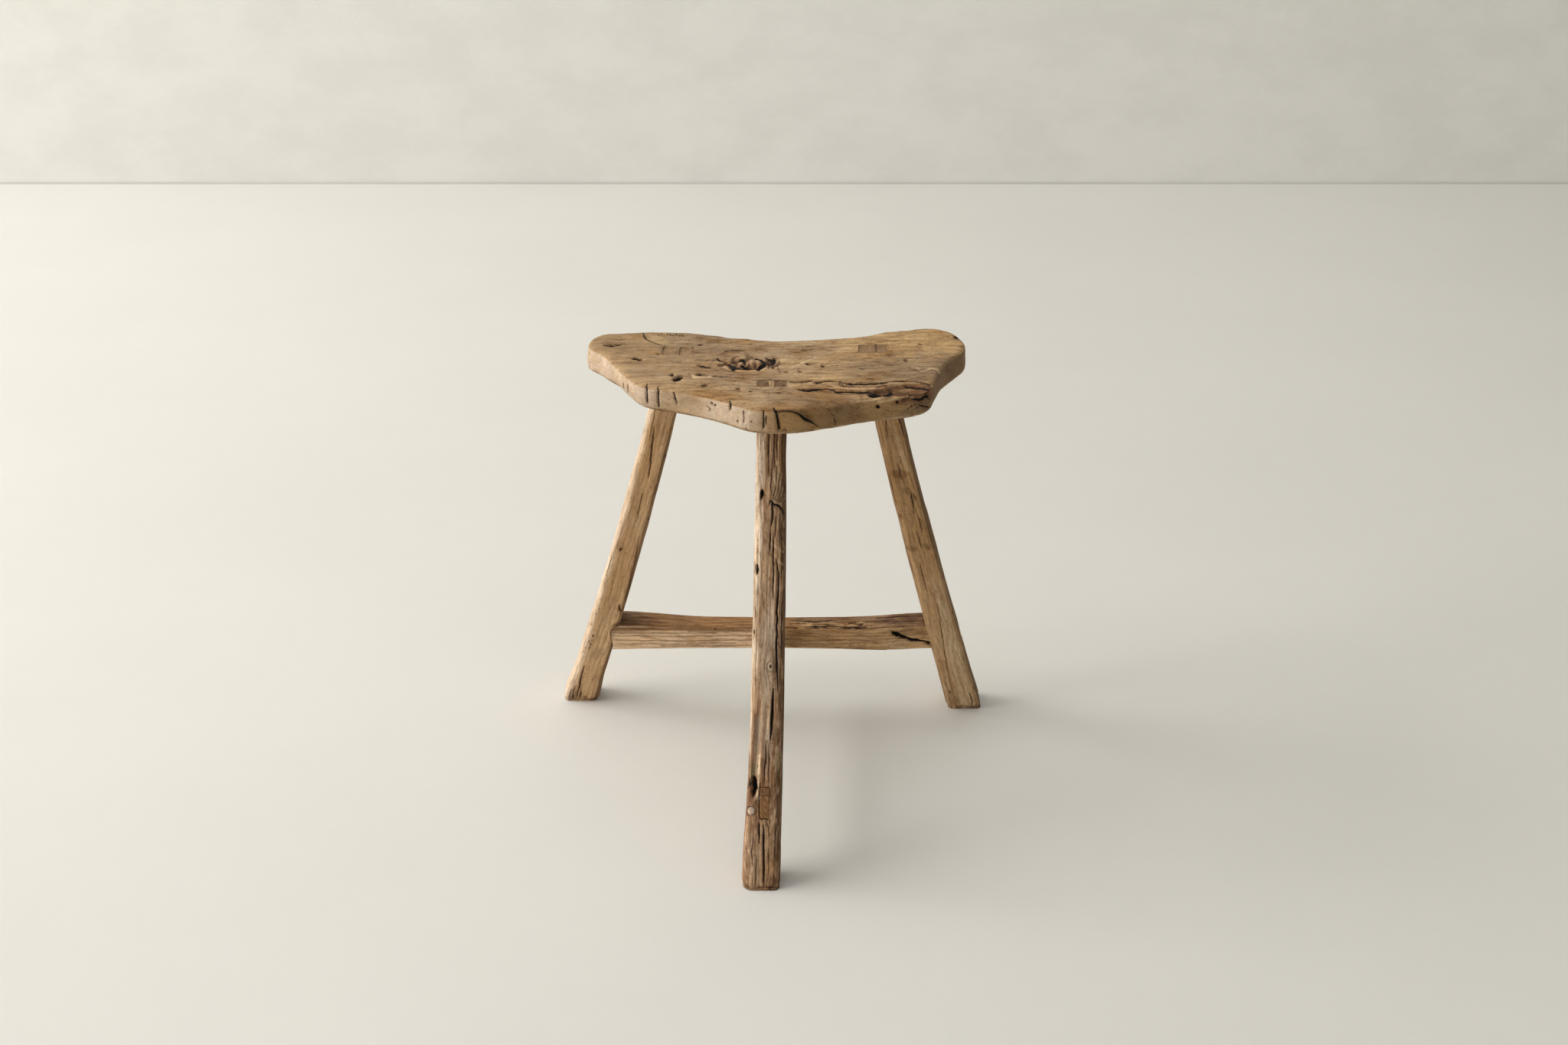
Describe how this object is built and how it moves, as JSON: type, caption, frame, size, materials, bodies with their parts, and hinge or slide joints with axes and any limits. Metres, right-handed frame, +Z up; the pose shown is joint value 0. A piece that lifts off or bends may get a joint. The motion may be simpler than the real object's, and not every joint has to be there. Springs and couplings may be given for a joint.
{
  "type": "wooden milking stool",
  "caption": "Low rustic wooden stool: a thick bean-shaped seat slab on splayed hewn legs wedged through it and tied by a T of stretchers.",
  "frame": {"origin": "on the floor, under the middle of the stool's box", "axes": "+Z up; -Y is the front, towards the single front leg; +X is to the right of someone who looks at the front"},
  "size_m": [0.4614, 0.4008, 0.45],
  "materials": {
    "seat_wood": "dry weathered bare wood, worn smooth on top, cracked and wormy",
    "leg_wood": "dry weathered bare wood, hand hewn, fine cracks along the grain",
    "stretcher_wood": "dry weathered bare wood, rough, split at one end",
    "wedge_wood": "dry end-grain wood, cut flush",
    "peg_wood": "dry pale wood, cut flush"
  },
  "bodies": {
    "root": {"seat": "seat_wood", "leg_front": "leg_wood", "leg_rear_left": "leg_wood", "leg_rear_right": "leg_wood", "stretcher_rear": "stretcher_wood", "stretcher_middle": "stretcher_wood", "wedge_front": "wedge_wood", "wedge_rear_left": "wedge_wood", "wedge_rear_right": "wedge_wood", "wedge_stretcher_front": "wedge_wood", "peg_front": "peg_wood"}
  },
  "joints": []
}
